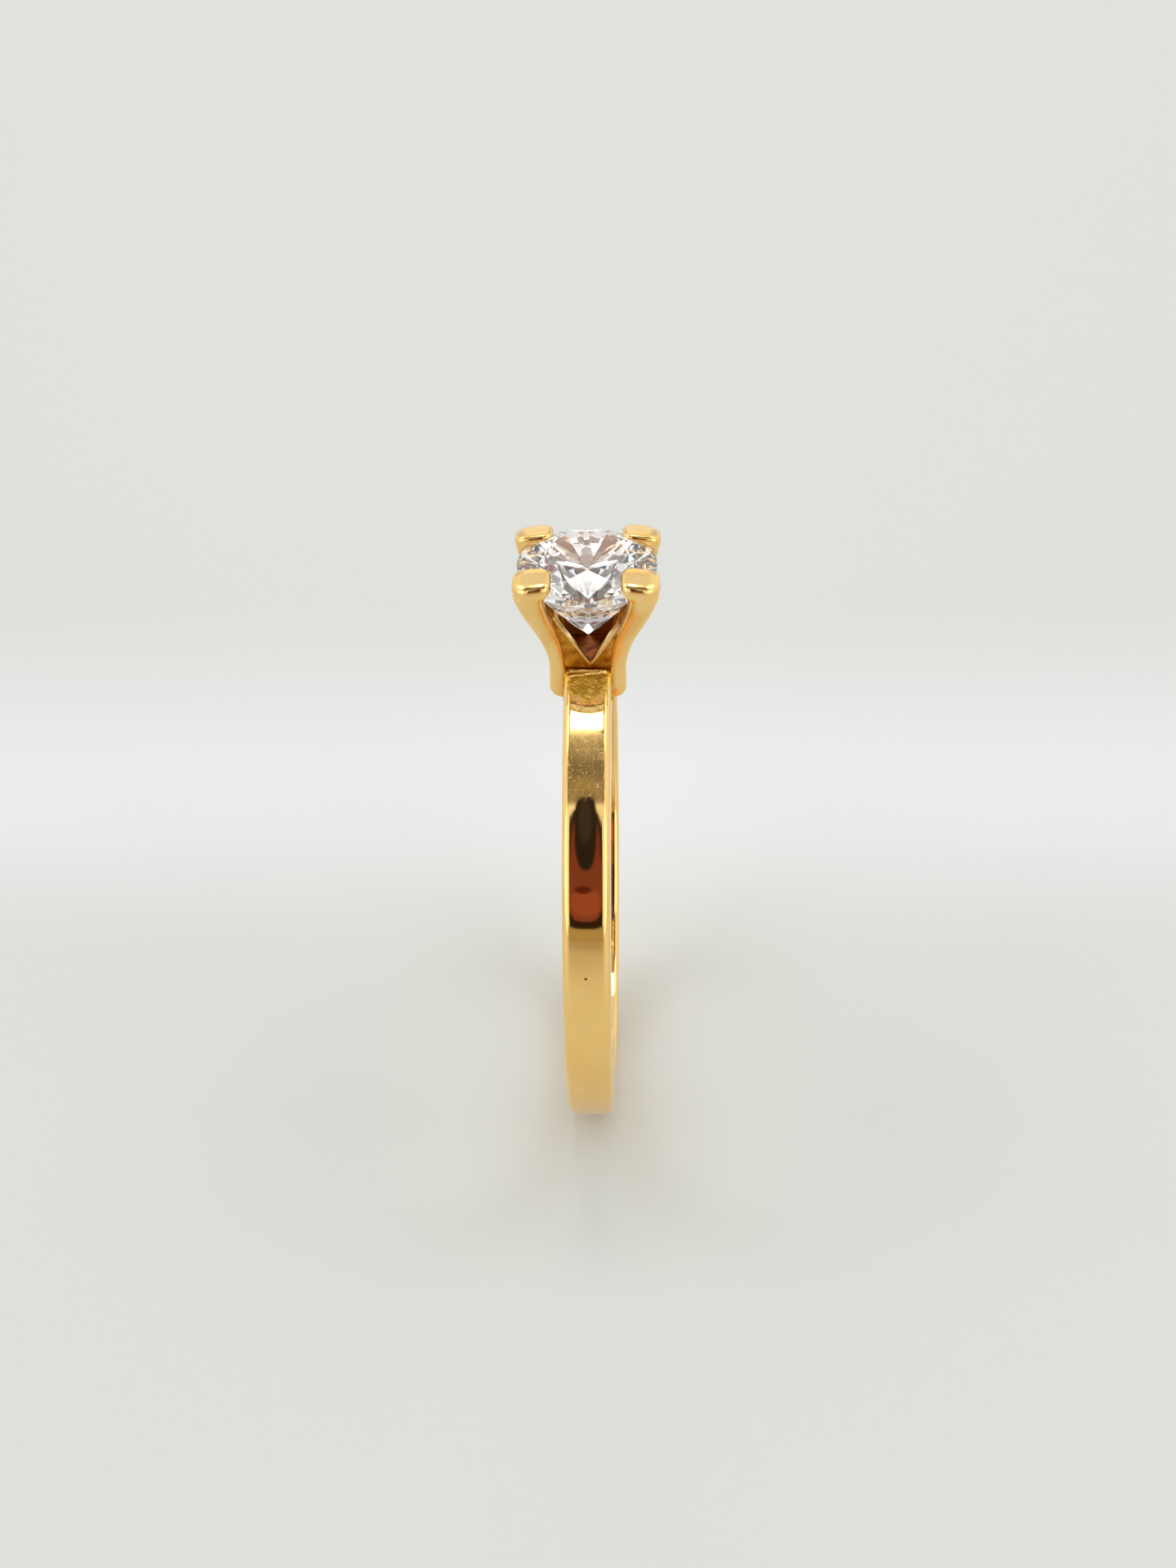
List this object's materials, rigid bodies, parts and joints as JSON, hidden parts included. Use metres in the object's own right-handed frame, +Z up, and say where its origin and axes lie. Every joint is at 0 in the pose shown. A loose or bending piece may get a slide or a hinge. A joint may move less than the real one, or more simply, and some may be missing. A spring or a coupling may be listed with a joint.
{
  "type": "engagement ring",
  "caption": "Yellow gold solitaire ring: a plain soft-edged band with a notched claw head that holds a round brilliant stone.",
  "frame": {"origin": "centre of the finger hole", "axes": "+X along the finger, +Z up from the finger hole through the stone, +Y from the front claws to the back claws"},
  "size_m": [0.0056, 0.02, 0.0244],
  "materials": {
    "gold": "polished 18 carat yellow gold",
    "solder": "filed yellow gold solder",
    "diamond": "faceted and polished colourless diamond"
  },
  "bodies": {
    "root": {"shank": "gold", "head_solder": "solder", "head_base": "gold", "left_cheek": "gold", "right_cheek": "gold", "front_web": "gold", "back_web": "gold", "left_web": "gold", "right_web": "gold", "diamond": "diamond", "front_left_claw": "gold", "front_right_claw": "gold", "back_left_claw": "gold", "back_right_claw": "gold"}
  },
  "joints": []
}
